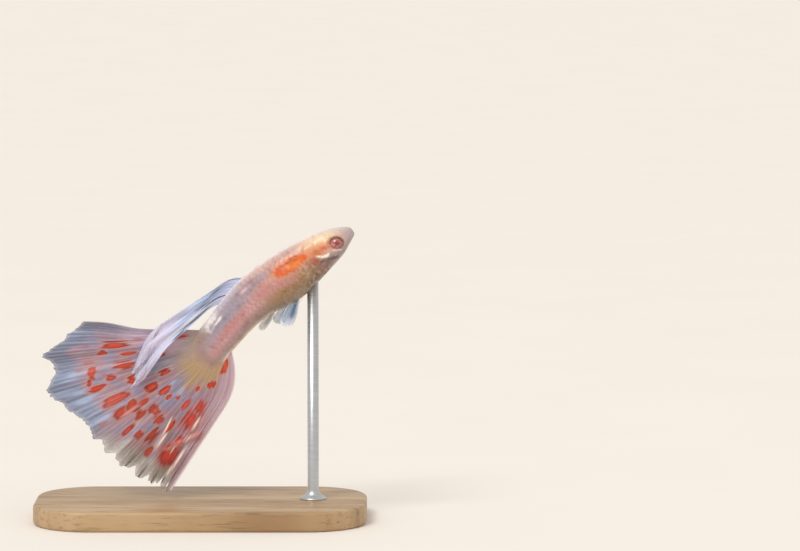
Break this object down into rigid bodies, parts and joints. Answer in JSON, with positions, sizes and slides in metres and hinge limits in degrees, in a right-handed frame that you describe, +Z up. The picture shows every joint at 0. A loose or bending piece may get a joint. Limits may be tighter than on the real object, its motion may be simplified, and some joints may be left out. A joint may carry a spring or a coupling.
{
  "type": "male fancy guppy model on a stand",
  "caption": "Life-size still model of a male fancy guppy with a trailing dorsal fin and a wide red-spotted delta tail, held nose-up by a slim rod on a flat base",
  "frame": {"origin": "centre of the base's underside", "axes": "+X towards the fish's head, +Z up, the fish's right side towards -Y"},
  "size_m": [0.05, 0.026, 0.0442],
  "materials": {
    "skin": "moist pinkish scaled skin",
    "eye": "glossy red iris with a dark pupil",
    "tail_fin": "thin mauve membrane with red spots and a blue-grey margin",
    "fin": "thin pale blue-grey membrane",
    "base": "satin",
    "rod": "satin"
  },
  "bodies": {
    "root": {"head": "skin", "torso": "skin", "tail_stalk": "skin", "eye_left": "eye", "eye_right": "eye", "caudal_fin": "tail_fin", "dorsal_fin": "fin", "anal_fin": "fin", "pelvic_fin_left": "fin", "pelvic_fin_right": "fin", "pectoral_fin_left": "fin", "pectoral_fin_right": "fin", "stand_base": "base", "stand_rod": "rod"}
  },
  "joints": []
}
